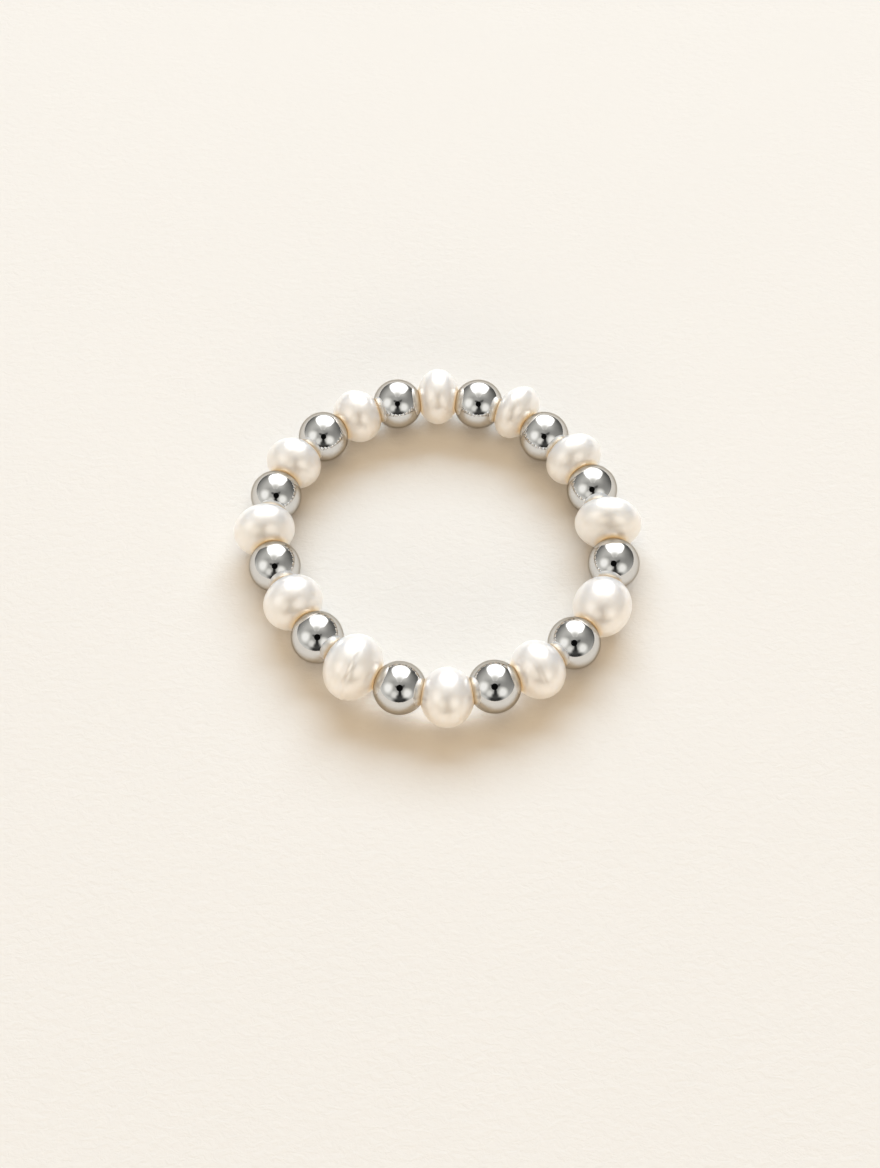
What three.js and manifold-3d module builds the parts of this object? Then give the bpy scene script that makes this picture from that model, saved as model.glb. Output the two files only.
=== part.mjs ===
// A stretch finger ring, lying on its side: small freshwater pearls and polished silver balls
// threaded by turns on a closed loop of clear elastic.
// Millimetres, +Z up. The origin is under the middle of the ring, on the surface it rests on.

import * as THREE from 'three';
import { mergeVertices } from 'three/addons/utils/BufferGeometryUtils.js';
import Module from 'manifold-3d';

const wasm = await Module();
wasm.setup();

// Silver balls, all alike: a ball, its drilled hole, and the rounding where the two meet.
const BALL_DIAMETER = 3.0;
const BALL_HOLE = 0.9;
const BALL_HOLE_EDGE = 0.08;

// Pearls, in thread order, clockwise from the far side of the ring. Millimetres and degrees.
//   pitch    along the thread, from the middle of the ball behind to that of the ball ahead
//   length   along the thread, before the dimpled ends that the balls sit in
//   width    across the thread, both ways
//   outward  how far its middle sits outside its own drilled hole
//   lean     how far its body is turned from the line of the hole, seen from above
const PEARLS = [
  { pitch: 5.05, length: 2.6, width: 3.4, outward: 0.25, lean: 0 },
  { pitch: 4.7, length: 2.25, width: 3.45, outward: 0.45, lean: -8 },
  { pitch: 4.75, length: 2.65, width: 3.5, outward: 0.25, lean: -6 },
  { pitch: 5.3, length: 2.75, width: 3.9, outward: -0.05, lean: -15 },
  { pitch: 5.9, length: 3.6, width: 3.35, outward: 0, lean: 0 },
  { pitch: 5.35, length: 3.0, width: 3.4, outward: 0, lean: 3 },
  { pitch: 5.35, length: 3.05, width: 3.4, outward: 0.2, lean: -4 },
  { pitch: 5.75, length: 3.2, width: 3.85, outward: 0.05, lean: 4 },
  { pitch: 5.4, length: 3.0, width: 3.5, outward: -0.1, lean: 0 },
  { pitch: 4.95, length: 2.9, width: 3.6, outward: 0.3, lean: 12 },
  { pitch: 5.1, length: 2.85, width: 3.35, outward: 0.1, lean: 10 },
  { pitch: 5.15, length: 2.85, width: 3.25, outward: 0.15, lean: 4 },
];
const PEARL_HOLE = 0.9;
const DIMPLE_GAP = 0.04; // between a ball and the dimple it sits in

// The elastic thread, and how high it runs when every pearl rests on the surface.
const THREAD_DIAMETER = 0.4;
const THREAD_HEIGHT = 1.75;

// The loop that the thread makes, seen from above. It is a circle with two shallow waves in it:
// the ring is a little longer one way than the other, and a little square.
const FIRST_BEARING = 91;
const LOOP_WAVES = [
  { lobes: 2, height: 0.031, crest: -48 },
  { lobes: 4, height: 0.0135, crest: -13 },
];

// Facets.
const BALL_SIDES = 16;
const BALL_ARC_STEPS = 3;
const PEARL_SIDES = 16;
const PEARL_STEPS = 8;
const DIMPLE_SIDES = 14;
const DIMPLE_STEPS = 16;
const HOLE_SIDES = 8;
const THREAD_SIDES = 6;
const THREAD_STEPS = 48;

const silver = new THREE.MeshStandardMaterial({ color: 0xc8cacc, roughness: 0.08, metalness: 1 });
const pearl = new THREE.MeshStandardMaterial({ color: 0xf3ece1, roughness: 0.25, metalness: 0 });
const elastic = new THREE.MeshStandardMaterial({ color: 0xf2f1ee, roughness: 0.4, metalness: 0 });

const { degToRad } = THREE.MathUtils;

// Distance from the loop's middle to the thread, for a loop whose mean radius is 1.
function loopReach(bearing) {
  let reach = 1;
  for (const wave of LOOP_WAVES) {
    reach += wave.height * Math.cos(wave.lobes * (bearing - degToRad(wave.crest)));
  }
  return reach;
}

// The thread's line, walked clockwise from the far side.
class ThreadLoop extends THREE.Curve {
  constructor(radius) {
    super();
    this.radius = radius;
    this.arcLengthDivisions = 2400;
  }

  getPoint(t, target = new THREE.Vector3()) {
    const bearing = degToRad(FIRST_BEARING) - 2 * Math.PI * t;
    const reach = this.radius * loopReach(bearing);
    return target.set(reach * Math.cos(bearing), reach * Math.sin(bearing), 0);
  }
}

// A three.js geometry as a manifold solid, and back again.
function toSolid(geometry) {
  const bare = geometry.clone();
  bare.deleteAttribute('normal');
  bare.deleteAttribute('uv');
  const welded = mergeVertices(bare, 1e-5);
  return new wasm.Manifold(new wasm.Mesh({
    numProp: 3,
    vertProperties: welded.attributes.position.array,
    triVerts: new Uint32Array(welded.index.array),
  }));
}

function toGeometry(solid) {
  const mesh = solid.getMesh();
  const geometry = new THREE.BufferGeometry();
  geometry.setAttribute('position', new THREE.BufferAttribute(mesh.vertProperties, 3));
  geometry.setIndex(new THREE.BufferAttribute(mesh.triVerts, 1));
  geometry.computeVertexNormals();
  return geometry;
}

// A silver ball about the Y axis: out along the ball, round the edge of the hole, back through it.
function ballGeometry() {
  const radius = BALL_DIAMETER / 2;
  const edge = BALL_HOLE_EDGE;
  const edgeMiddle = BALL_HOLE / 2 + edge;
  const edgeHeight = Math.sqrt((radius - edge) ** 2 - edgeMiddle ** 2);
  const lastAngle = Math.atan2(edgeHeight, edgeMiddle);
  const half = [];
  for (let i = 0; i <= BALL_ARC_STEPS; i += 1) {
    const angle = lastAngle * (i / BALL_ARC_STEPS);
    half.push(new THREE.Vector2(radius * Math.cos(angle), radius * Math.sin(angle)));
  }
  half.push(new THREE.Vector2(edgeMiddle, edgeHeight + edge));
  half.push(new THREE.Vector2(edgeMiddle - edge, edgeHeight));
  const mirrored = half.slice(1).reverse().map((p) => new THREE.Vector2(p.x, -p.y));
  const profile = [...mirrored, ...half, mirrored[0].clone()];
  return new THREE.LatheGeometry(profile, BALL_SIDES);
}

// A pearl about the Y axis, its hole on that axis: an oval body, turned, moved outward (+X) from
// the hole and stood on the surface, dimpled at both ends where the balls sit, and drilled.
function pearlGeometry({ length, width, outward, lean }, ballMiddles) {
  const body = new THREE.SphereGeometry(0.5, PEARL_SIDES, PEARL_STEPS);
  body.scale(width, length, width);
  body.rotateZ(degToRad(lean));
  body.translate(outward, 0, width / 2 - THREAD_HEIGHT);
  let solid = toSolid(body);
  for (const middle of ballMiddles) {
    const dimple = new THREE.SphereGeometry(BALL_DIAMETER / 2 + DIMPLE_GAP, DIMPLE_SIDES, DIMPLE_STEPS);
    dimple.translate(middle.x, middle.y, middle.z);
    solid = solid.subtract(toSolid(dimple));
  }
  const drill = new THREE.CylinderGeometry(PEARL_HOLE / 2, PEARL_HOLE / 2, 2 * length, HOLE_SIDES);
  return toGeometry(solid.subtract(toSolid(drill)));
}

// Where each bead's middle comes along the thread: a pearl halfway along its pitch, and the ball
// ahead of it where its pitch ends.
const beads = [];
let threadLength = 0;
for (const [i, row] of PEARLS.entries()) {
  const number = String(i + 1).padStart(2, '0');
  beads.push({ name: `pearl_bead_${number}`, row, at: threadLength + row.pitch / 2 });
  threadLength += row.pitch;
  beads.push({ name: `silver_bead_${number}`, at: threadLength });
}

// The beads set the size of the ring: the loop is as long as what is threaded on it.
const loopRadius = threadLength / new ThreadLoop(1).getLength();
const loop = new ThreadLoop(loopRadius);
for (const bead of beads) {
  bead.place = loop.getPointAt((bead.at - beads[0].at) / threadLength);
}

// Each bead's hole points along the thread, from the bead ahead to the bead behind, which leaves
// its own +X outward and +Z up.
const group = new THREE.Group();
const ball = ballGeometry();
for (const [i, bead] of beads.entries()) {
  const behind = beads.at(i - 1).place;
  const ahead = beads[(i + 1) % beads.length].place;
  const mesh = new THREE.Mesh();
  mesh.name = bead.name;
  mesh.position.copy(bead.place);
  mesh.rotation.z = Math.atan2(behind.y - ahead.y, behind.x - ahead.x) - Math.PI / 2;
  mesh.updateMatrixWorld();
  if (bead.row) {
    const ballMiddles = [behind, ahead].map((place) => mesh.worldToLocal(place.clone()));
    mesh.geometry = pearlGeometry(bead.row, ballMiddles);
    mesh.material = pearl.clone();
  } else {
    mesh.geometry = ball;
    mesh.material = silver.clone();
  }
  group.add(mesh);
}

// The thread: a thin ring whose middle line is moved out or in to the loop.
const threadGeometry = new THREE.TorusGeometry(loopRadius, THREAD_DIAMETER / 2, THREAD_SIDES, THREAD_STEPS);
const threadPoints = threadGeometry.attributes.position;
for (let i = 0; i < threadPoints.count; i += 1) {
  const x = threadPoints.getX(i);
  const y = threadPoints.getY(i);
  const bearing = Math.atan2(y, x);
  const reach = Math.hypot(x, y) + loopRadius * (loopReach(bearing) - 1);
  threadPoints.setXY(i, reach * Math.cos(bearing), reach * Math.sin(bearing));
}
const thread = new THREE.Mesh(threadGeometry, elastic);
thread.name = 'elastic_thread';
group.add(thread);

// Stand the ring on the surface, with the origin under the middle of its box.
const box = new THREE.Box3().setFromObject(group, true);
const middle = box.getCenter(new THREE.Vector3());
group.position.set(-middle.x, -middle.y, -box.min.z);

export default group;
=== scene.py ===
import math

import bpy
import numpy as np
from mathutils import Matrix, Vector


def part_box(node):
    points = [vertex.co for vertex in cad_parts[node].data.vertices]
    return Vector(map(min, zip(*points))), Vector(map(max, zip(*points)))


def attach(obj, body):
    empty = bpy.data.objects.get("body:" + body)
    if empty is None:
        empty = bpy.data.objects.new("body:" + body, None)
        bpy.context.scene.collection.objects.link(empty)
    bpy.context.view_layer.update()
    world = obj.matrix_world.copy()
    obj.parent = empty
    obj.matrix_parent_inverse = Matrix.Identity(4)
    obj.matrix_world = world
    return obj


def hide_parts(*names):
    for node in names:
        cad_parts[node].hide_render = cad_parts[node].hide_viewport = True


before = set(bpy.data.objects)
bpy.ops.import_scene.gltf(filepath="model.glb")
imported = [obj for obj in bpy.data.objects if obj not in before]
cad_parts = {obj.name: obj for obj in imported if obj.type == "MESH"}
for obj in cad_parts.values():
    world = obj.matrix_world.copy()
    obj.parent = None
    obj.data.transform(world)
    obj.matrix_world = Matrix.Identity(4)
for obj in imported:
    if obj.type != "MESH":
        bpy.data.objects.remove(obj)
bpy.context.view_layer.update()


# ---- The elastic -------------------------------------------------------------------------------
# One closed loop of clear elastic cord through every bead, without the knot that one bead hides.
# What is threaded on it sets its length. Seen from above it is a circle with two shallow waves:
# the ring is a little longer one way than the other, and a little square.

MM = 0.001

# Pearls, in thread order, clockwise from the far side of the ring. Millimetres and degrees.
#   pitch    along the thread, from the middle of the ball behind to that of the ball ahead
#   length   along the thread, before the dimpled ends that the balls sit in
#   width    across the thread, both ways
#   outward  how far its middle sits outside its own drilled hole
#   lean     how far its body is turned from the line of the hole, seen from above
#   furrow   depth of the growth furrow round it
#   at       where the furrow lies, towards the ball behind
PEARLS = [
    dict(pitch=5.05, length=2.6, width=3.4, outward=0.25, lean=0, furrow=0.004, at=0.2),
    dict(pitch=4.7, length=2.25, width=3.45, outward=0.45, lean=-8, furrow=0.003, at=-0.3),
    dict(pitch=4.75, length=2.65, width=3.5, outward=0.25, lean=-6, furrow=0.004, at=0.35),
    dict(pitch=5.3, length=2.75, width=3.9, outward=-0.05, lean=-15, furrow=0.003, at=-0.5),
    dict(pitch=5.9, length=3.6, width=3.35, outward=0, lean=0, furrow=0.004, at=0.6),
    dict(pitch=5.35, length=3.0, width=3.4, outward=0, lean=3, furrow=0.010, at=-0.42),
    dict(pitch=5.35, length=3.05, width=3.4, outward=0.2, lean=-4, furrow=0.003, at=0.5),
    dict(pitch=5.75, length=3.2, width=3.85, outward=0.05, lean=4, furrow=0.04, at=0.42),
    dict(pitch=5.4, length=3.0, width=3.5, outward=-0.1, lean=0, furrow=0.005, at=-0.3),
    dict(pitch=4.95, length=2.9, width=3.6, outward=0.3, lean=12, furrow=0.004, at=0.4),
    dict(pitch=5.1, length=2.85, width=3.35, outward=0.1, lean=10, furrow=0.003, at=-0.2),
    dict(pitch=5.15, length=2.85, width=3.25, outward=0.15, lean=4, furrow=0.004, at=0.3),
]

THREAD_DIAMETER = 0.4
THREAD_HEIGHT = 1.75
FIRST_BEARING = 91
LOOP_WAVES = [
    dict(lobes=2, height=0.031, crest=-48),
    dict(lobes=4, height=0.0135, crest=-13),
]
LOOP_STEPS = 2400
THREAD_SPACING = 10  # loop steps from one point of the cord to the next

bearings = math.radians(FIRST_BEARING) - np.linspace(0, 2 * math.pi, LOOP_STEPS + 1)
reach = np.ones_like(bearings)
for wave in LOOP_WAVES:
    reach += wave["height"] * np.cos(wave["lobes"] * (bearings - math.radians(wave["crest"])))
loop = np.column_stack((reach * np.cos(bearings), reach * np.sin(bearings)))
walked = np.concatenate(([0], np.cumsum(np.hypot(*np.diff(loop, axis=0).T))))

# The loop grows to the length of what is threaded on it. Each pearl comes halfway along its pitch,
# and the ball ahead of it where its pitch ends.
thread_length = sum(row["pitch"] for row in PEARLS)
loop *= thread_length / walked[-1]
walked *= thread_length / walked[-1]

beads = []
threaded = 0
for number, row in enumerate(PEARLS, start=1):
    for kind, node in (("pearl", "pearl_bead"), ("silver_ball", "silver_bead")):
        threaded += row["pitch"] / 2
        beads.append(dict(name=f"{kind}_{number:02d}", node=f"{node}_{number:02d}", at=threaded))
for bead in beads:
    along = (bead["at"] - beads[0]["at"]) % thread_length
    bead["place"] = np.array([np.interp(along, walked, line) for line in loop.T])

# The loop's middle, from where the balls are.
balls = beads[1::2]
loop_middle = np.zeros(2)
for ball in balls:
    low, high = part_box(ball["node"])
    loop_middle += (np.array((low + high) / 2)[:2] / MM - ball["place"]) / len(balls)
loop += loop_middle
for bead in beads:
    bead["place"] += loop_middle
for i, bead in enumerate(beads):
    back = beads[i - 1]["place"] - beads[(i + 1) % len(beads)]["place"]
    bead["turn"] = math.atan2(back[1], back[0]) - math.pi / 2


class Wire:
    """One output of a node, in a shader or a geometry tree. Arithmetic on it adds Math nodes."""

    def __init__(self, tree, socket=None):
        self.tree = tree
        self.socket = socket

    def node(self, kind, settings=None, sockets=None, output=0):
        """Adds a node: its settings first, then a value or a wire for each socket."""
        made = self.tree.nodes.new(kind)
        for name, value in (settings or {}).items():
            setattr(made, name, value)
        for key, value in (sockets or {}).items():
            if isinstance(value, Wire):
                self.tree.links.new(value.socket, made.inputs[key])
            else:
                made.inputs[key].default_value = value
        return Wire(self.tree, made.outputs[output])

    def maths(self, operation, *others):
        values = dict(enumerate((self, *others)))
        return self.node("ShaderNodeMath", {"operation": operation}, values)

    def vector(self, operation, *others, output=0):
        values = dict(enumerate((self, *others)))
        return self.node("ShaderNodeVectorMath", {"operation": operation}, values, output)

    def scaled(self, factor):
        return self.node("ShaderNodeVectorMath", {"operation": "SCALE"}, {0: self, "Scale": factor})

    def three(self):
        """This number three times over, as a vector."""
        return self.node("ShaderNodeCombineXYZ", {}, {0: self, 1: self, 2: self})

    def turn(self):
        """A rotation by this angle, seen from above."""
        return self.node("ShaderNodeCombineXYZ", {}, {2: self})

    def xyz(self):
        parts = self.tree.nodes.new("ShaderNodeSeparateXYZ")
        self.tree.links.new(self.socket, parts.inputs[0])
        return [Wire(self.tree, output) for output in parts.outputs]

    def between(self, low, high):
        """0 where this is at low, 1 where it is at high, and a smooth rise between them."""
        return self.node(
            "ShaderNodeMapRange",
            {"interpolation_type": "SMOOTHSTEP"},
            {"Value": self, "From Min": low, "From Max": high},
        )

    def bell(self):
        """1 where this is 0, falling smoothly to nothing on both sides."""
        return (self * self * -1).maths("EXPONENT")

    def mix(self, first, second):
        """The first colour where this is 0, and the second where it is 1."""
        return self.node("ShaderNodeMix", {"data_type": "RGBA"}, {0: self, 6: first, 7: second}, 2)

    def __add__(self, other):
        return self.maths("ADD", other)

    def __sub__(self, other):
        return self.maths("SUBTRACT", other)

    def __rsub__(self, other):
        return self.node("ShaderNodeMath", {"operation": "SUBTRACT"}, {0: other, 1: self})

    def __mul__(self, other):
        return self.maths("MULTIPLY", other)

    def __truediv__(self, other):
        return self.maths("DIVIDE", other)

    __radd__ = __add__
    __rmul__ = __mul__


def new_material(name):
    """An empty material, and a wire to start its nodes from."""
    material = bpy.data.materials.new(name)
    material.use_nodes = True
    material.node_tree.nodes.clear()
    return material, Wire(material.node_tree)


def set_surface(material, shader):
    output = material.node_tree.nodes.new("ShaderNodeOutputMaterial")
    material.node_tree.links.new(shader.socket, output.inputs["Surface"])


def geometry_tree(name, inputs):
    """A new geometry tree, and its inputs as wires by name. inputs gives each socket's kind."""
    tree = bpy.data.node_groups.new(name, "GeometryNodeTree")
    tree.interface.new_socket(name="Geometry", in_out="OUTPUT", socket_type="NodeSocketGeometry")
    for label, kind in {"Geometry": "Geometry", **inputs}.items():
        tree.interface.new_socket(name=label, in_out="INPUT", socket_type="NodeSocket" + kind)
    start = tree.nodes.new("NodeGroupInput")
    return tree, {socket.name: Wire(tree, socket) for socket in start.outputs if socket.name}


def end_tree(tree, shape, material):
    """Ends a geometry tree: its instances are made real and given the material."""
    real = shape.node("GeometryNodeRealizeInstances", {}, {"Geometry": shape})
    done = real.node("GeometryNodeSetMaterial", {}, {"Geometry": real, "Material": material})
    output = tree.nodes.new("NodeGroupOutput")
    tree.links.new(done.socket, output.inputs["Geometry"])


def make_piece(name, tree, base, values):
    """Runs a tree over a base mesh with these input values. The result is a plain mesh object."""
    maker = bpy.data.objects.new(name + "_maker", base)
    bpy.context.scene.collection.objects.link(maker)
    modifier = maker.modifiers.new("make", "NODES")
    modifier.node_group = tree
    for item in tree.interface.items_tree:
        if item.in_out == "INPUT" and item.name in values:
            modifier[item.identifier] = values[item.name]
    graph = bpy.context.evaluated_depsgraph_get()
    mesh = bpy.data.meshes.new_from_object(maker.evaluated_get(graph))
    mesh.name = name
    bpy.data.objects.remove(maker)
    piece = bpy.data.objects.new(name, mesh)
    bpy.context.scene.collection.objects.link(piece)
    return piece


def closed_line(name, points):
    """A mesh of edges only: a closed line through the points."""
    line = bpy.data.meshes.new(name)
    edges = [(i, (i + 1) % len(points)) for i in range(len(points))]
    line.from_pydata([tuple(point) for point in points], edges, [])
    return line


# Clear elastic: pale, smooth and faintly milky, with slow changes of tone along the cord.
clear_elastic, start = new_material("clear_elastic")
spot = start.node("ShaderNodeTexCoord", output=3)
milky = start.node("ShaderNodeTexNoise", {}, {"Vector": spot, "Scale": 900, "Detail": 3})
tone = milky.mix((0.86, 0.86, 0.84, 1), (0.95, 0.95, 0.93, 1))
elastic = start.node(
    "ShaderNodeBsdfPrincipled",
    {},
    {"Base Color": tone, "Roughness": milky * 0.1 + 0.25, "Coat Weight": 0.3},
)
set_surface(clear_elastic, elastic)

cord_tree, given = geometry_tree(
    "cord_along_loop", {"Cord Diameter": "Float", "Sides": "Int", "Scale": "Float"}
)
path = given["Geometry"].node("GeometryNodeMeshToCurve", {}, {"Mesh": given["Geometry"]})
section = path.node(
    "GeometryNodeCurvePrimitiveCircle",
    {},
    {"Resolution": given["Sides"], "Radius": given["Cord Diameter"] / 2},
)
cord = path.node("GeometryNodeCurveToMesh", {}, {"Curve": path, "Profile Curve": section})
cord = cord.node("GeometryNodeSetShadeSmooth", {}, {"Geometry": cord})
cord = cord.node("GeometryNodeTransform", {}, {"Geometry": cord, "Scale": given["Scale"].three()})
end_tree(cord_tree, cord, clear_elastic)

cord_points = [(x, y, THREAD_HEIGHT) for x, y in loop[:-1:THREAD_SPACING]]
thread = make_piece(
    "elastic_cord",
    cord_tree,
    closed_line("cord_line", cord_points),
    {"Cord Diameter": THREAD_DIAMETER, "Sides": 16, "Scale": MM},
)
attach(thread, "root")
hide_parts("elastic_thread")


# ---- The silver balls --------------------------------------------------------------------------
# Twelve seamless balls of sterling silver, drilled through and polished to a mirror. The edge of
# each hole is rounded over, so that it doesn't cut the elastic. They sit in the pearls' ends.

BALL_DIAMETER = 3.0
BALL_HOLE = 0.9
BALL_HOLE_EDGE = 0.08
BALL_SIDES = 96
BALL_ARC_STEPS = 48
BALL_EDGE_STEPS = 8
TURNING_RADIUS = 1.0  # of the circle that a section is swept round


def ball_section():
    """Half a ball cut along its hole: (distance from the hole's axis, distance along it)."""
    middle = BALL_HOLE / 2 + BALL_HOLE_EDGE
    height = math.sqrt((BALL_DIAMETER / 2 - BALL_HOLE_EDGE) ** 2 - middle**2)
    last = math.atan2(height, middle)
    half = []
    for i in range(BALL_ARC_STEPS + 1):
        angle = last * i / BALL_ARC_STEPS
        half.append((BALL_DIAMETER / 2 * math.cos(angle), BALL_DIAMETER / 2 * math.sin(angle)))
    for i in range(1, BALL_EDGE_STEPS + 1):
        angle = last + (math.pi - last) * i / BALL_EDGE_STEPS
        out = BALL_HOLE_EDGE * math.cos(angle)
        half.append((middle + out, height + BALL_HOLE_EDGE * math.sin(angle)))
    return [(x, -y) for x, y in reversed(half[1:])] + half


def put_in_place(shape, given):
    """Turns a bead along the thread, moves it to its place, and scales it from millimetres."""
    scale = given["Scale"]
    turned = {"Rotation": given["Turn"].turn(), "Scale": scale.three()}
    moved = {"Translation": given["Place"].scaled(scale)}
    return shape.node("GeometryNodeTransform", {}, {"Geometry": shape, **turned, **moved})


# Polished silver: a mirror that darkens a little towards its edge, with a faint haze from
# handling and the slightest unevenness left by the polishing wheel.
polished_silver, start = new_material("polished_silver")
spot = start.node("ShaderNodeTexCoord", output=3)
haze = start.node("ShaderNodeTexNoise", {}, {"Vector": spot, "Scale": 700, "Detail": 3})
wheel = start.node("ShaderNodeTexNoise", {}, {"Vector": spot, "Scale": 1500, "Detail": 2})
tone = haze.mix((0.69, 0.685, 0.675, 1), (0.73, 0.725, 0.715, 1))
wavy = start.node("ShaderNodeBump", {}, {"Height": wheel, "Strength": 0.012, "Distance": 0.0002})
silver = start.node(
    "ShaderNodeBsdfPrincipled",
    {},
    {
        "Base Color": tone,
        "Metallic": 1,
        "Roughness": haze * 0.03 + 0.02,
        "Specular Tint": (0.5, 0.46, 0.4, 1),
        "Normal": wavy,
    },
)
set_surface(polished_silver, silver)

ball_tree, given = geometry_tree(
    "turned_ball", {"Sides": "Int", "Place": "Vector", "Turn": "Float", "Scale": "Float"}
)
section = given["Geometry"].node("GeometryNodeMeshToCurve", {}, {"Mesh": given["Geometry"]})
circle = section.node(
    "GeometryNodeCurvePrimitiveCircle", {}, {"Resolution": given["Sides"], "Radius": TURNING_RADIUS}
)
ball = circle.node("GeometryNodeCurveToMesh", {}, {"Curve": circle, "Profile Curve": section})
ball = ball.node("GeometryNodeSetShadeSmooth", {}, {"Geometry": ball})
ball = ball.node("GeometryNodeTransform", {}, {"Geometry": ball, "Rotation": (math.pi / 2, 0, 0)})
ball = put_in_place(ball, given)
end_tree(ball_tree, ball, polished_silver)

section_points = [(x - TURNING_RADIUS, y, 0) for x, y in ball_section()]
section_line = closed_line("ball_section", section_points)
for bead in beads[1::2]:
    place = (*bead["place"], THREAD_HEIGHT)
    values = {"Sides": BALL_SIDES, "Place": place, "Turn": bead["turn"], "Scale": MM}
    piece = make_piece(bead["name"], ball_tree, section_line, values)
    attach(piece, "root")
    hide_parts(bead["node"])


# ---- The pearls --------------------------------------------------------------------------------
# Twelve cultured freshwater pearls, each its own oval, all but one drilled through the short way.
# The nacre is white to cream, with faint growth rings, and one pearl has a deep furrow. Their
# ends are hollowed where the balls press in.

PEARL_HOLE = 0.9
DIMPLE_GAP = 0.015  # between a ball and the dimple that it sits in
DIMPLE_ROUNDING = 0.08
PEARL_SIDES = 112
PEARL_RINGS = 72
LUMPS = 0.012  # height of the slow unevenness of a pearl
FURROW_WIDTH = 0.09

# Nacre: a creamy body that light sinks into and comes faintly out of again, under a skin that
# reflects like a soft mirror, with fine growth rings and pits. A faint even glow is also painted
# into it, and beside the balls a painted golden tint and a stronger painted golden glow stand for
# light let in by the thin edge.
nacre, start = new_material("nacre")
in_pearl = start.node("ShaderNodeAttribute", {"attribute_name": "in_pearl"}, output=1)
from_ball = start.node("ShaderNodeAttribute", {"attribute_name": "from_ball"}, output=2)
spot = start.node("ShaderNodeTexCoord", output=3)
along = in_pearl.xyz()[1]
# Painted light: 1 at the seat of a ball and gone 0.4 mm away, for the golden glow painted beside the
# balls.
painted_glow_by_ball = 1 - from_ball.between(0.02, 0.4)
clouds = start.node("ShaderNodeTexNoise", {}, {"Vector": spot, "Scale": 450, "Detail": 3})
rings = start.node(
    "ShaderNodeTexNoise",
    {"noise_dimensions": "1D"},
    {"W": along * 4 + clouds * 3, "Scale": 1, "Detail": 3},
)
pits = start.node("ShaderNodeTexNoise", {}, {"Vector": spot, "Scale": 5200, "Detail": 2})
body = clouds.between(0.3, 0.7).mix((0.85, 0.815, 0.77, 1), (0.87, 0.845, 0.81, 1))
body = (rings.between(0.35, 0.75) * 0.15).mix(body, (0.81, 0.75, 0.67, 1))
# Painted golden tint beside the balls, standing in for light let in by the thin edge.
body = (painted_glow_by_ball * 0.6).mix(body, (0.88, 0.74, 0.52, 1))
skin = start.node("ShaderNodeBump", {}, {"Height": rings, "Strength": 0.02, "Distance": 0.0001})
skin = start.node(
    "ShaderNodeBump", {}, {"Height": pits, "Strength": 0.02, "Distance": 0.00005, "Normal": skin}
)
# Painted glow, as emission: faint and even all over the pearl, golden and stronger beside the balls.
painted_glow = (painted_glow_by_ball * painted_glow_by_ball).mix((0.11, 0.096, 0.075, 1), (0.24, 0.145, 0.06, 1))
pearl = start.node(
    "ShaderNodeBsdfPrincipled",
    {"subsurface_method": "RANDOM_WALK"},
    {
        "Base Color": body,
        "Metallic": 0.44,
        "Roughness": clouds * 0.06 + 0.26,
        "Specular IOR Level": 0.2,
        "Subsurface Weight": 1.0,
        "Subsurface Radius": (1.0, 0.9, 0.8),
        "Subsurface Scale": 0.003,
        "Coat Weight": 0.2,
        "Coat Roughness": 0.3,
        "Emission Color": painted_glow,
        "Emission Strength": 1.0,
        "Normal": skin,
    },
)
set_surface(nacre, pearl)

pearl_tree, given = geometry_tree(
    "freshwater_pearl",
    {
        "Length": "Float",
        "Width": "Float",
        "Outward": "Float",
        "Lean": "Float",
        "Height": "Float",
        "Ball Behind": "Vector",
        "Ball Ahead": "Vector",
        "Seat Radius": "Float",
        "Hole": "Float",
        "Lumps": "Float",
        "Furrow Depth": "Float",
        "Furrow At": "Float",
        "Seed": "Float",
        "Place": "Vector",
        "Turn": "Float",
        "Scale": "Float",
    },
)
oval = given["Geometry"].node(
    "GeometryNodeMeshUVSphere", {}, {"Segments": PEARL_SIDES, "Rings": PEARL_RINGS, "Radius": 0.5}
)
oval = oval.node("GeometryNodeTransform", {}, {"Geometry": oval, "Rotation": (math.pi / 2, 0, 0)})
girth = given["Width"].node(
    "ShaderNodeCombineXYZ", {}, {0: given["Width"], 1: given["Length"], 2: given["Width"]}
)
oval = oval.node("GeometryNodeTransform", {}, {"Geometry": oval, "Scale": girth})

# Slow lumps, and the furrow, which wanders a little, has a low ridge beside it and fades away
# towards the inside of the ring.
position = oval.node("GeometryNodeInputPosition")
normal = oval.node("GeometryNodeInputNormal")
lump = oval.node(
    "ShaderNodeTexNoise",
    {"noise_dimensions": "4D"},
    {"Vector": position, "W": given["Seed"], "Scale": 0.42, "Detail": 1},
)
wander = oval.node(
    "ShaderNodeTexNoise",
    {"noise_dimensions": "4D"},
    {"Vector": position, "W": given["Seed"] + 5, "Scale": 0.7, "Detail": 1},
)
out, along, up = position.xyz()
from_furrow = (along - given["Furrow At"] + (wander - 0.5) * 0.2) / FURROW_WIDTH
outer_side = out.between(-0.5, 0.4)
ridge = (from_furrow + 1.6).bell() * 0.6
rise = (lump - 0.5) * 2 * given["Lumps"]
rise = rise - (from_furrow.bell() - ridge) * given["Furrow Depth"] * outer_side
oval = oval.node(
    "GeometryNodeSetPosition", {}, {"Geometry": oval, "Offset": normal.scaled(rise)}
)

# Turned on its hole, moved outward, and stood on the surface that the ring lies on.
lift = given["Width"] / 2 - given["Height"]
shift = given["Outward"].node("ShaderNodeCombineXYZ", {}, {0: given["Outward"], 2: lift})
oval = oval.node(
    "GeometryNodeTransform",
    {},
    {"Geometry": oval, "Rotation": given["Lean"].turn(), "Translation": shift},
)
out, along, up = oval.node("GeometryNodeInputPosition").xyz()
up = up.maths("MAXIMUM", 0 - given["Height"])
above = oval.node("ShaderNodeCombineXYZ", {}, {0: out, 1: along, 2: up})
oval = oval.node("GeometryNodeSetPosition", {}, {"Geometry": oval, "Position": above})

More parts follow.
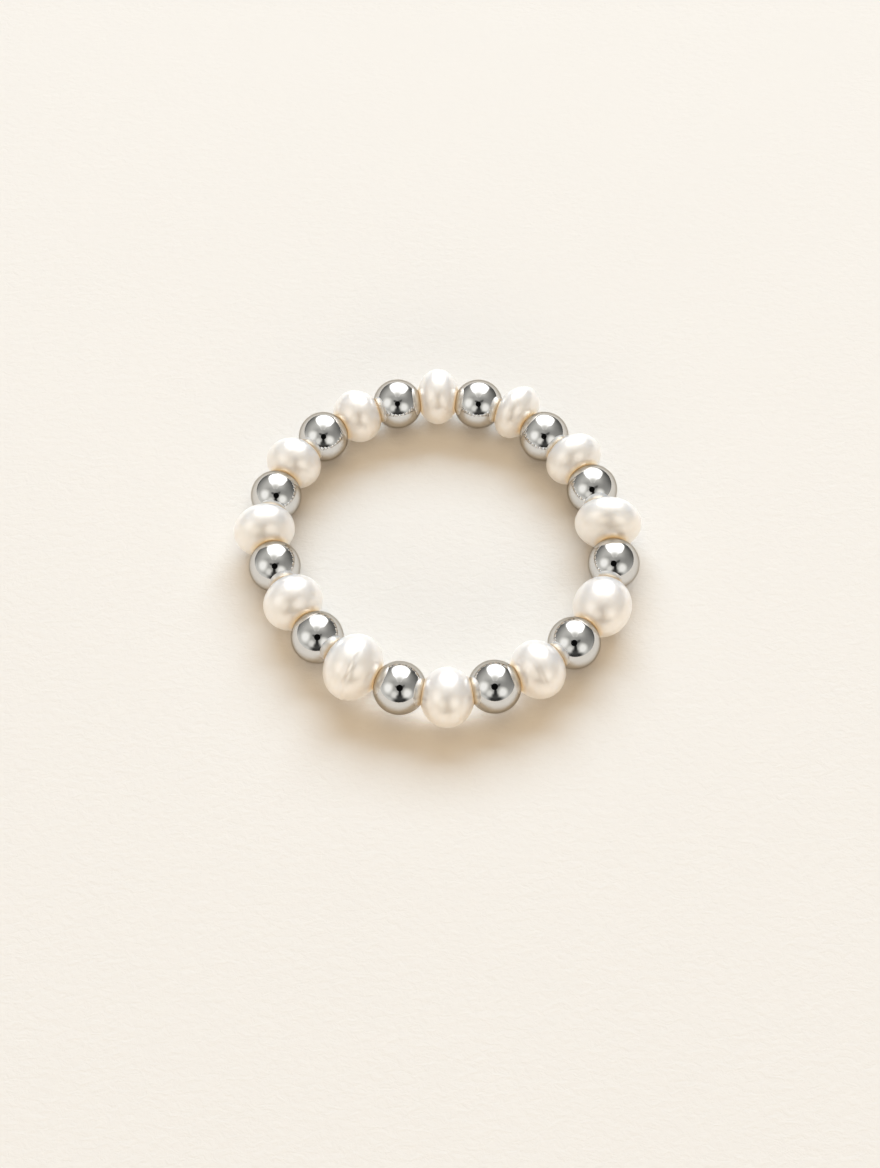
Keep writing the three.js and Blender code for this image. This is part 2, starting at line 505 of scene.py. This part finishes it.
# Hollowed where each ball presses in, with a rounded rim.
for ball_middle in (given["Ball Behind"], given["Ball Ahead"]):
    position = oval.node("GeometryNodeInputPosition")
    away = position.vector("SUBTRACT", ball_middle)
    distance = away.vector("LENGTH", output=1)
    kept = distance.maths("SMOOTH_MAX", given["Seat Radius"], DIMPLE_ROUNDING)
    seated = ball_middle.vector("ADD", away.scaled(kept / distance))
    oval = oval.node("GeometryNodeSetPosition", {}, {"Geometry": oval, "Position": seated})

# Drilled, with a sharp edge where the hole comes out.
drill = oval.node(
    "GeometryNodeMeshCylinder",
    {"fill_type": "NGON"},
    {"Vertices": 40, "Radius": given["Hole"] / 2, "Depth": given["Length"] * 2},
)
drill = drill.node("GeometryNodeTransform", {}, {"Geometry": drill, "Rotation": (math.pi / 2, 0, 0)})
drilled = oval.node(
    "GeometryNodeMeshBoolean",
    {"operation": "DIFFERENCE", "solver": "EXACT"},
    {"Mesh 1": oval, "Mesh 2": drill},
)
drilled = drilled.node("GeometryNodeSetShadeSmooth", {}, {"Geometry": drilled})
crease = drilled.node("GeometryNodeInputMeshEdgeAngle")
sharp = crease.node(
    "FunctionNodeCompare", {"operation": "GREATER_THAN"}, {0: crease, 1: math.radians(55)}
)
drilled = drilled.node(
    "GeometryNodeSetShadeSmooth",
    {"domain": "EDGE"},
    {"Geometry": drilled, "Selection": sharp, "Shade Smooth": False},
)

# For the nacre, in millimetres: where each point lies in its own pearl, and how far it is from the
# nearer ball. Then the pearl is placed.
position = drilled.node("GeometryNodeInputPosition")
from_behind = position.vector("DISTANCE", given["Ball Behind"], output=1)
from_ahead = position.vector("DISTANCE", given["Ball Ahead"], output=1)
gap = from_behind.maths("MINIMUM", from_ahead) - given["Seat Radius"]
for name, kind, value in (("in_pearl", "FLOAT_VECTOR", position), ("from_ball", "FLOAT", gap)):
    drilled = drilled.node(
        "GeometryNodeStoreNamedAttribute",
        {"data_type": kind, "domain": "POINT"},
        {"Geometry": drilled, "Name": name, "Value": value},
    )
end_tree(pearl_tree, put_in_place(drilled, given), nacre)


def seen_from(bead, other):
    """Another bead's middle as this bead has it: +X outward and +Y back along the thread, in mm."""
    step = other["place"] - bead["place"]
    turn = -bead["turn"]
    x = step[0] * math.cos(turn) - step[1] * math.sin(turn)
    y = step[0] * math.sin(turn) + step[1] * math.cos(turn)
    return (x, y, 0)


no_mesh = bpy.data.meshes.new("no_mesh")
for i, row in enumerate(PEARLS):
    bead = beads[2 * i]
    values = {
        "Length": row["length"],
        "Width": row["width"],
        "Outward": float(row["outward"]),
        "Lean": math.radians(row["lean"]),
        "Height": THREAD_HEIGHT,
        "Ball Behind": seen_from(bead, beads[2 * i - 1]),
        "Ball Ahead": seen_from(bead, beads[2 * i + 1]),
        "Seat Radius": BALL_DIAMETER / 2 + DIMPLE_GAP,
        "Hole": PEARL_HOLE,
        "Lumps": LUMPS,
        "Furrow Depth": row["furrow"],
        "Furrow At": row["at"],
        "Seed": float(i + 1),
        "Place": (*bead["place"], THREAD_HEIGHT),
        "Turn": bead["turn"],
        "Scale": MM,
    }
    piece = make_piece(bead["name"], pearl_tree, no_mesh, values)
    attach(piece, "root")
    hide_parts(bead["node"])


# ---- The floor ---------------------------------------------------------------------------------
# A wide sheet of heavy cream paper, slightly fibrous, that the ring lies on. A narrow gleam on
# it stands for the light that the near beads throw down in front of them.

FLOOR_REACH = 4000  # mm from the ring to the sheet's edge
# The gleam, in mm: how far it is from the middle of the ring, how far it fades inward and
# outward, and how far to the left and the right.
GLEAM_RADIUS = 10.55
GLEAM_WIDTH = 0.7
GLEAM_SPAN = 5
GLEAM_GLOW = (0.38, 0.38, 0.37, 1)

cream_paper, start = new_material("cream_paper")
spot = start.node("ShaderNodeTexCoord", output=3)
stretched = spot.vector("MULTIPLY", (1, 1.7, 1))
pulp = start.node(
    "ShaderNodeTexNoise",
    {},
    {"Vector": stretched, "Scale": 1700, "Detail": 4, "Roughness": 0.62, "Distortion": 0.6},
)
cloud = start.node("ShaderNodeTexNoise", {}, {"Vector": spot, "Scale": 60, "Detail": 3})
tone = (pulp * 0.6 + cloud * 0.4).mix((0.818, 0.765, 0.688, 1), (0.843, 0.79, 0.713, 1))
near = 1 - spot.vector("LENGTH", output=1).between(0.06, 0.15)
tooth = start.node("ShaderNodeBump", {}, {"Height": pulp * near, "Strength": 0.2, "Distance": 0.0002})
outward = (spot.vector("LENGTH", output=1) - GLEAM_RADIUS * MM) / (GLEAM_WIDTH * MM)
x, y, _ = spot.xyz()
sideways = (x / (GLEAM_SPAN * MM)).bell()
gleam = outward.bell() * sideways * y.between(0, -GLEAM_SPAN * MM) * (pulp + 0.5)
paper = start.node(
    "ShaderNodeBsdfPrincipled",
    {},
    {
        "Base Color": tone,
        "Roughness": 0.75,
        "Specular IOR Level": 0.25,
        "Emission Color": gleam.mix((0, 0, 0, 1), GLEAM_GLOW),
        "Emission Strength": 1,
        "Normal": tooth,
    },
)
set_surface(cream_paper, paper)

floor_mesh = bpy.data.meshes.new("floor")
corners = [(-1, -1), (1, -1), (1, 1), (-1, 1)]
corners = [(x * FLOOR_REACH * MM, y * FLOOR_REACH * MM, 0) for x, y in corners]
floor_mesh.from_pydata(corners, [], [(0, 1, 2, 3)])
floor_mesh.materials.append(cream_paper)
floor = bpy.data.objects.new("floor", floor_mesh)
bpy.context.scene.collection.objects.link(floor)


# ---- The camera --------------------------------------------------------------------------------
# Above the near side, looking down at 60 degrees.

CAMERA_RISE = 60.05
CAMERA_DISTANCE = 90.53
CAMERA_AIM = (0.12, -3.10, 1.75)
CAMERA_LENS = 48.45

rise = math.radians(CAMERA_RISE)
away = Vector((0, -math.cos(rise), math.sin(rise)))
camera = bpy.data.objects.new("camera", bpy.data.cameras.new("camera"))
bpy.context.scene.collection.objects.link(camera)
camera.location = (Vector(CAMERA_AIM) + away * CAMERA_DISTANCE) * MM
camera.rotation_mode = "QUATERNION"
camera.rotation_quaternion = (-away).to_track_quat("-Z", "Y")
camera.data.lens = CAMERA_LENS
camera.data.sensor_width = 36
camera.data.clip_start = 0.001
camera.data.clip_end = 20
bpy.context.scene.camera = camera


# ---- The studio --------------------------------------------------------------------------------
# A large cool softbox leans over the ring from behind, and warm light comes from all round. The
# silver and the nacre mirror a dome round it: the softbox, grey walls, three round lamps, and the
# camera's stand between two dark arms. Only reflections see the dome.

STUDIO_REACH = 500  # mm to the dome
LAMP_REACH = 1500
STUDIO_GLOW = 1.15
# Lights that reflections don't see: where each is, its width and height, its power and colour.
LIGHTS = [
    dict(name="key", bearing=3, height=41, size=(1600, 850), watts=31, colour=(0.61, 0.79, 1.0)),
    dict(name="overhead", bearing=0, height=89, size=(1200, 1200), watts=5, colour=(1.0, 0.82, 0.56)),
    dict(name="front", bearing=180, height=16, size=(1800, 500), watts=7, colour=(1.0, 0.88, 0.74)),
]
FILL_COLOUR = (1.0, 0.81, 0.62)
FILL_STRENGTH = 0.42


def toward(bearing, height, reach):
    """A point by its bearing, 0 behind the ring and 90 to the right, and its height, in degrees."""
    b = math.radians(bearing)
    h = math.radians(height)
    return Vector((math.sin(b) * math.cos(h), math.cos(b) * math.cos(h), math.sin(h))) * reach * MM


for row in LIGHTS:
    light = bpy.data.lights.new(row["name"], "AREA")
    light.shape = "RECTANGLE"
    light.size, light.size_y = (side * MM for side in row["size"])
    light.energy = row["watts"]
    light.color = row["colour"]
    lamp = bpy.data.objects.new(row["name"], light)
    bpy.context.scene.collection.objects.link(lamp)
    lamp.location = toward(row["bearing"], row["height"], LAMP_REACH)
    lamp.rotation_mode = "QUATERNION"
    lamp.rotation_quaternion = (-lamp.location).to_track_quat("-Z", "Y")
    lamp.visible_camera = False
    lamp.visible_glossy = False

world = bpy.data.worlds.new("warm_fill")
world.use_nodes = True
world.node_tree.nodes["Background"].inputs["Color"].default_value = (*FILL_COLOUR, 1)
world.node_tree.nodes["Background"].inputs["Strength"].default_value = FILL_STRENGTH
world.cycles_visibility.glossy = False
bpy.context.scene.world = world

studio_glow, start = new_material("studio_glow")
glow = start.node("ShaderNodeAttribute", {"attribute_name": "glow"}, output=2)
tint = glow.between(0.7, 1.6).mix((1.0, 0.985, 0.93, 1), (0.985, 0.99, 1.0, 1))
lit = start.node("ShaderNodeEmission", {}, {"Color": tint, "Strength": glow * STUDIO_GLOW})
set_surface(studio_glow, lit)
studio_glow.cycles.emission_sampling = "NONE"


def stage_mesh(name, points, faces, glows):
    """A part of the studio that only reflections see, with a glow for each of its points."""
    mesh = bpy.data.meshes.new(name)
    mesh.from_pydata(points, [], faces)
    mesh.materials.append(studio_glow)
    levels = mesh.attributes.new("glow", "FLOAT", "POINT")
    levels.data.foreach_set("value", glows)
    made = bpy.data.objects.new(name, mesh)
    bpy.context.scene.collection.objects.link(made)
    made.visible_camera = False
    made.visible_diffuse = False
    made.visible_shadow = False


# How bright the walls and the ceiling are, by bearing, at each of these heights.
WALL_HEIGHTS = (0, 8, 15, 40, 65, 90)
WALLS = [
    dict(bearing=-180, glows=(0.65, 0.50, 0.40, 0.45, 0.30, 0.45)),
    dict(bearing=-150, glows=(0.70, 0.65, 0.50, 0.45, 0.38, 0.45)),
    dict(bearing=-130, glows=(0.70, 0.60, 0.45, 0.52, 0.40, 0.45)),
    dict(bearing=-90, glows=(0.65, 0.60, 0.50, 0.55, 0.40, 0.45)),
    dict(bearing=-70, glows=(0.16, 0.28, 0.33, 0.54, 0.50, 0.50)),
    dict(bearing=-50, glows=(0.08, 0.20, 0.26, 0.50, 0.62, 0.50)),
    dict(bearing=-30, glows=(0.06, 0.16, 0.22, 0.50, 0.80, 0.50)),
    dict(bearing=0, glows=(0.70, 0.60, 0.60, 0.80, 0.90, 0.50)),
    dict(bearing=40, glows=(0.04, 0.10, 0.12, 0.40, 0.80, 0.50)),
    dict(bearing=70, glows=(0.06, 0.14, 0.15, 0.29, 0.58, 0.50)),
    dict(bearing=100, glows=(0.35, 0.35, 0.30, 0.28, 0.36, 0.48)),
    dict(bearing=130, glows=(0.65, 0.50, 0.42, 0.38, 0.26, 0.45)),
    dict(bearing=155, glows=(0.60, 0.50, 0.45, 0.42, 0.25, 0.42)),
    dict(bearing=180, glows=(0.65, 0.50, 0.40, 0.45, 0.30, 0.45)),
]
# The softbox: where its left and right edges are at each height, and how bright it is there.
SOFTBOX_EDGE = 12  # degrees from dark to bright
SOFTBOX = [
    dict(height=3, left=0, right=10, glow=1.0),
    dict(height=8, left=-12, right=20, glow=1.9),
    dict(height=16, left=-20, right=32, glow=2.6),
    dict(height=28, left=-27, right=38, glow=2.8),
    dict(height=40, left=-31, right=44, glow=2.8),
    dict(height=52, left=-38, right=52, glow=2.2),
    dict(height=58, left=-40, right=54, glow=1.7),
    dict(height=64, left=-42, right=52, glow=1.35),
    dict(height=70, left=-45, right=52, glow=1.1),
    dict(height=77, left=-60, right=60, glow=0.72),
    dict(height=90, left=-180, right=180, glow=0.5),
]
# Round lamps and dark things, each laid over what is above it in this table. The edge is a share
# of the radius over which it fades out.
STUDIO_THINGS = [
    dict(what="lamp", bearing=-112, height=36, wide=18, tall=20, edge=1.1, glow=1.05),
    dict(what="lamp", bearing=-155, height=31, wide=12, tall=13, edge=1.1, glow=0.82),
    dict(what="lamp", bearing=141, height=30, wide=17, tall=19, edge=1.1, glow=1.0),
    dict(what="stand", bearing=177, height=7, wide=28, tall=12, edge=0.9, glow=0.04),
    dict(what="stand", bearing=179, height=24, wide=13, tall=13, edge=1.0, glow=0.06),
    dict(what="stand", bearing=177, height=43, wide=6, tall=16, edge=0.7, glow=0.03),
    dict(what="arm", bearing=150, height=64, wide=12, tall=5, edge=0.9, glow=0.1),
    dict(what="arm", bearing=-158, height=65, wide=9, tall=5, edge=0.9, glow=0.1),
]
DOME_COLUMNS = 180
DOME_ROWS = 50


def smooth_step(x):
    x = np.clip(x, 0, 1)
    return x * x * (3 - 2 * x)


heights, bearings = np.meshgrid(
    np.linspace(-2, 90, DOME_ROWS + 1), np.linspace(-180, 180, DOME_COLUMNS + 1), indexing="ij"
)
columns = np.array([row["bearing"] for row in WALLS])
glows = np.interp(bearings, columns, [row["glows"][0] for row in WALLS])
for level in range(1, len(WALL_HEIGHTS)):
    low, high = WALL_HEIGHTS[level - 1 : level + 1]
    share = np.clip((heights - low) / (high - low), 0, 1)
    at_high = np.interp(bearings, columns, [row["glows"][level] for row in WALLS])
    glows = glows * (1 - share) + at_high * share

rows = [row["height"] for row in SOFTBOX]
left = np.interp(heights, rows, [row["left"] for row in SOFTBOX])
right = np.interp(heights, rows, [row["right"] for row in SOFTBOX])
bright = np.interp(heights, rows, [row["glow"] for row in SOFTBOX])
cover = smooth_step((heights - rows[0]) / SOFTBOX_EDGE + 0.5)
cover *= smooth_step((bearings - left) / SOFTBOX_EDGE + 0.5)
cover *= smooth_step((right - bearings) / SOFTBOX_EDGE + 0.5)
glows = glows * (1 - cover) + bright * cover

for row in STUDIO_THINGS:
    across = (bearings - row["bearing"] + 180) % 360 - 180
    across *= math.cos(math.radians(row["height"])) / row["wide"]
    above = (heights - row["height"]) / row["tall"]
    cover = smooth_step((1 - np.hypot(across, above)) / row["edge"] + 0.5)
    glows = glows * (1 - cover) + row["glow"] * cover

points = [toward(b, h, STUDIO_REACH) for b, h in zip(bearings.ravel(), heights.ravel())]
faces = []
for r in range(DOME_ROWS):
    for c in range(DOME_COLUMNS):
        a = r * (DOME_COLUMNS + 1) + c
        faces.append((a, a + DOME_COLUMNS + 1, a + DOME_COLUMNS + 2, a + 1))
stage_mesh("studio_dome", points, faces, glows.ravel())

# The front of the camera, dark and close.
CAMERA_RADIUS = 22
CAMERA_SIDES = 48

facing = camera.location.normalized()
side = facing.cross(Vector((0, 0, 1))).normalized()
top = side.cross(facing)
points = []
for i in range(CAMERA_SIDES):
    angle = 2 * math.pi * i / CAMERA_SIDES
    spoke = side * math.cos(angle) + top * math.sin(angle)
    points.append(camera.location + spoke * CAMERA_RADIUS * MM)
stage_mesh("camera_front", points, [tuple(range(CAMERA_SIDES))], [0.004] * CAMERA_SIDES)

# A pale shell that only the camera sees, in place of what is beyond the floor.
SURROUND_REACH = 900
SURROUND_HEIGHTS = np.linspace(-12, 90, 9)
SURROUND_SIDES = 48

points = []
for height in SURROUND_HEIGHTS:
    for i in range(SURROUND_SIDES):
        points.append(toward(360 * i / SURROUND_SIDES, height, SURROUND_REACH))
faces = []
for ring in range(len(SURROUND_HEIGHTS) - 1):
    for i in range(SURROUND_SIDES):
        a = ring * SURROUND_SIDES + i
        b = ring * SURROUND_SIDES + (i + 1) % SURROUND_SIDES
        faces.append((a, b, b + SURROUND_SIDES, a + SURROUND_SIDES))
surround_mesh = bpy.data.meshes.new("surround")
surround_mesh.from_pydata(points, [], faces)
shell = bpy.data.objects.new("surround", surround_mesh)
pale_surround, start = new_material("pale_surround")
set_surface(pale_surround, start.node("ShaderNodeEmission", {}, {"Color": (0.97, 0.95, 0.92, 1)}))
pale_surround.cycles.emission_sampling = "NONE"
surround_mesh.materials.append(pale_surround)
bpy.context.scene.collection.objects.link(shell)
for kind in ("diffuse", "glossy", "transmission", "shadow", "volume_scatter"):
    setattr(shell, "visible_" + kind, False)

bpy.context.scene.view_settings.view_transform = "Standard"
